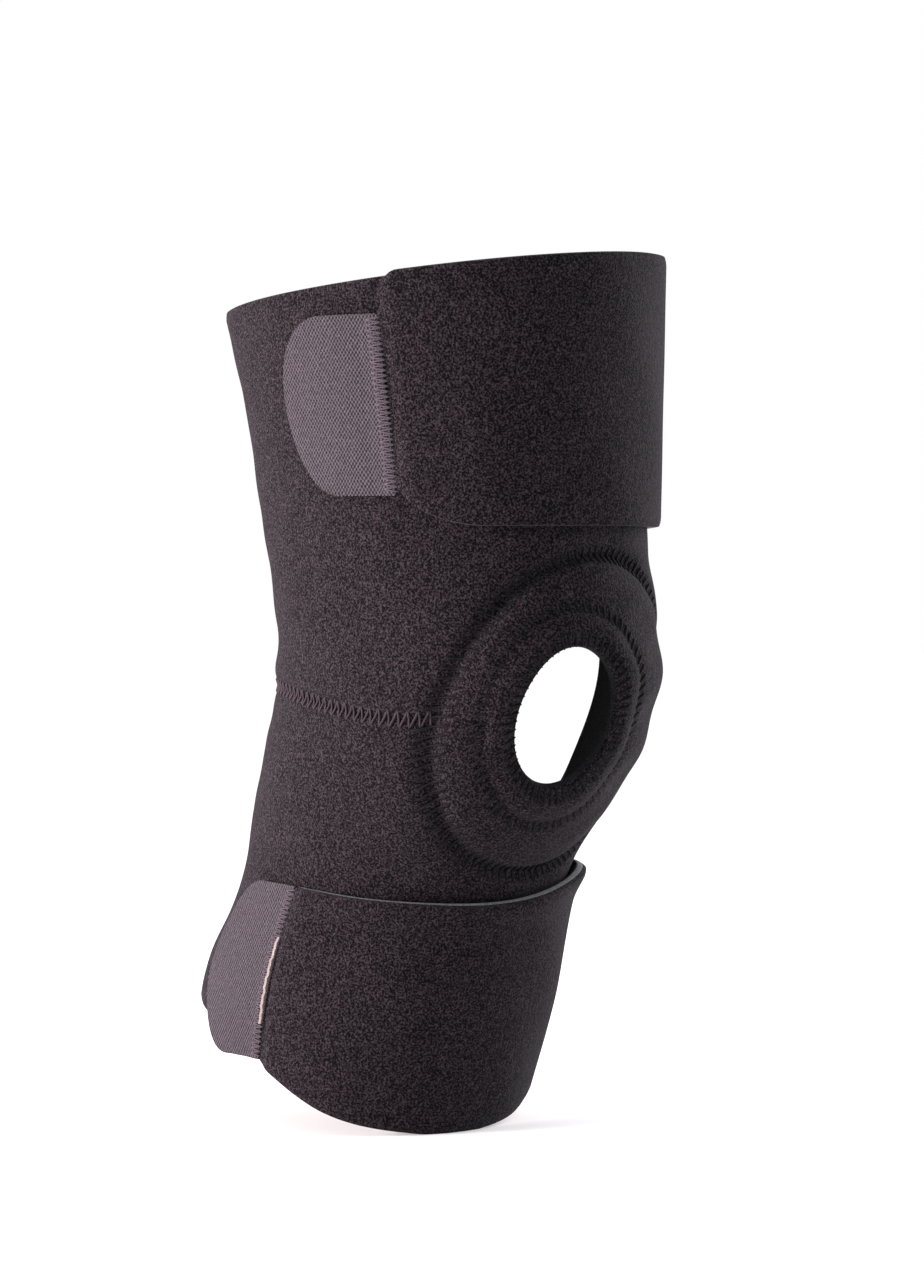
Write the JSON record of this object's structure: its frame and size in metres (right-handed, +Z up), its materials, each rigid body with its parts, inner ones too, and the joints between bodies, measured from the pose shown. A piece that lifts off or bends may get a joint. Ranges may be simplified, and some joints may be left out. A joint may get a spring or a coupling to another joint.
{
  "type": "wraparound knee brace",
  "caption": "Wraparound neoprene knee brace with an open patella window, buttress ring and two flaps that fasten with hook tabs, shaped to a slightly bent right leg",
  "frame": {"origin": "on the knee's side-to-side bending axis, in the middle of the leg passage, at the height of the side seams", "axes": "+Z up along the thigh, -Y to the front of the knee where the patella window is, -X to the outer (lateral) side where both tabs fasten; right leg"},
  "size_m": [0.1506, 0.1826, 0.2999],
  "materials": {
    "plush_loop": "matte",
    "neoprene_foam": "matte",
    "lining": "matte",
    "thread": "matte",
    "tab_thread": "matte",
    "tab_weave": "matte",
    "hooks": "matte",
    "raw_tape": "matte"
  },
  "bodies": {
    "thigh_cuff": {"knee_seam_thread_lateral": "thread", "knee_seam_thread_medial": "thread", "thigh_knee_zone_lateral_foam": "neoprene_foam", "thigh_knee_zone_lateral_lining": "lining", "thigh_knee_zone_lateral_loop": "plush_loop", "thigh_knee_zone_medial_foam": "neoprene_foam", "thigh_knee_zone_medial_lining": "lining", "thigh_knee_zone_medial_loop": "plush_loop", "thigh_panel_foam": "neoprene_foam", "thigh_panel_lining": "lining", "thigh_panel_loop": "plush_loop"},
    "calf_cuff": {"calf_knee_zone_lateral_foam": "neoprene_foam", "calf_knee_zone_lateral_lining": "lining", "calf_knee_zone_lateral_loop": "plush_loop", "calf_knee_zone_medial_foam": "neoprene_foam", "calf_knee_zone_medial_lining": "lining", "calf_knee_zone_medial_loop": "plush_loop", "calf_panel_foam": "neoprene_foam", "calf_panel_lining": "lining", "calf_panel_loop": "plush_loop"},
    "patella_ring": {"insert_seam_thread": "thread", "patella_buttress": "neoprene_foam", "patella_panel_foam": "neoprene_foam", "patella_panel_lining": "lining", "patella_panel_loop": "plush_loop", "patella_rim_cover": "plush_loop", "patella_rim_lining": "lining", "ring_seam_thread": "thread", "window_edge_thread": "thread"},
    "thigh_flap_root": {"thigh_flap_root_foam": "neoprene_foam", "thigh_flap_root_lining": "lining", "thigh_flap_root_loop": "plush_loop"},
    "thigh_flap": {"thigh_flap_foam": "neoprene_foam", "thigh_flap_lining": "lining", "thigh_flap_loop": "plush_loop", "thigh_tab_sewn_end": "tab_weave", "thigh_tab_stitching": "tab_thread"},
    "thigh_tab": {"thigh_tab_backing": "tab_weave", "thigh_tab_hooks": "hooks"},
    "calf_flap_root": {"calf_flap_root_foam": "neoprene_foam", "calf_flap_root_lining": "lining", "calf_flap_root_loop": "plush_loop"},
    "calf_flap": {"calf_flap_foam": "neoprene_foam", "calf_flap_lining": "lining", "calf_flap_loop": "plush_loop", "calf_tab_sewn_end": "tab_weave", "calf_tab_stitching": "tab_thread", "calf_tab_tape_edge": "raw_tape"},
    "calf_tab": {"calf_tab_backing": "tab_weave", "calf_tab_hooks": "hooks"}
  },
  "joints": [
    {"name": "knee_flexion", "type": "hinge", "parent": "thigh_cuff", "child": "calf_cuff", "pos_m": [0, 0, 0], "axis": [1, 0, 0], "range_deg": [-22, 60], "deforming": ["calf_knee_zone_lateral_foam", "calf_knee_zone_lateral_lining", "calf_knee_zone_lateral_loop", "calf_knee_zone_medial_foam", "calf_knee_zone_medial_lining", "calf_knee_zone_medial_loop", "insert_seam_thread", "knee_seam_thread_lateral", "knee_seam_thread_medial", "patella_panel_foam", "patella_panel_lining", "patella_panel_loop", "ring_seam_thread", "thigh_knee_zone_lateral_foam", "thigh_knee_zone_lateral_lining", "thigh_knee_zone_lateral_loop", "thigh_knee_zone_medial_foam", "thigh_knee_zone_medial_lining", "thigh_knee_zone_medial_loop"]},
    {"name": "patella_follow", "type": "hinge", "parent": "thigh_cuff", "child": "patella_ring", "pos_m": [0, 0, 0], "axis": [1, 0, 0], "range_deg": [-11, 30]},
    {"name": "thigh_flap_open", "type": "hinge", "parent": "thigh_cuff", "child": "thigh_flap_root", "pos_m": [0.03462, 0.0616, 0.10039], "axis": [-0.0006, 0.1494, 0.9888], "range_deg": [0, 65]},
    {"name": "thigh_flap_unroll", "type": "hinge", "parent": "thigh_flap_root", "child": "thigh_flap", "pos_m": [0.05922, -0.03837, 0.10489], "axis": [0.0308, 0.0068, 0.9995], "range_deg": [0, 65]},
    {"name": "thigh_tab_peel", "type": "hinge", "parent": "thigh_flap", "child": "thigh_tab", "pos_m": [-0.06131, -0.04927, 0.09756], "axis": [-0.1342, -0.0134, 0.9909], "range_deg": [0, 75]},
    {"name": "calf_flap_open", "type": "hinge", "parent": "calf_cuff", "child": "calf_flap_root", "pos_m": [0.02375, 0.08543, -0.08827], "axis": [0.0686, -0.3036, 0.9503], "range_deg": [0, 65]},
    {"name": "calf_flap_unroll", "type": "hinge", "parent": "calf_flap_root", "child": "calf_flap", "pos_m": [0.04161, 0.00458, -0.10097], "axis": [0.0917, -0.2835, 0.9546], "range_deg": [0, 65]},
    {"name": "calf_tab_peel", "type": "hinge", "parent": "calf_flap", "child": "calf_tab", "pos_m": [-0.07021, 0.01524, -0.09336], "axis": [0.0866, -0.278, 0.9567], "range_deg": [0, 75]}
  ],
  "couplings": [
    {"joint": "patella_follow", "follows": "knee_flexion", "ratio": 0.5},
    {"joint": "thigh_flap_unroll", "follows": "thigh_flap_open", "ratio": 1},
    {"joint": "calf_flap_unroll", "follows": "calf_flap_open", "ratio": 1},
    {"joint": "calf_tab_peel", "follows": "calf_flap_open", "ratio": 1.1538}
  ]
}
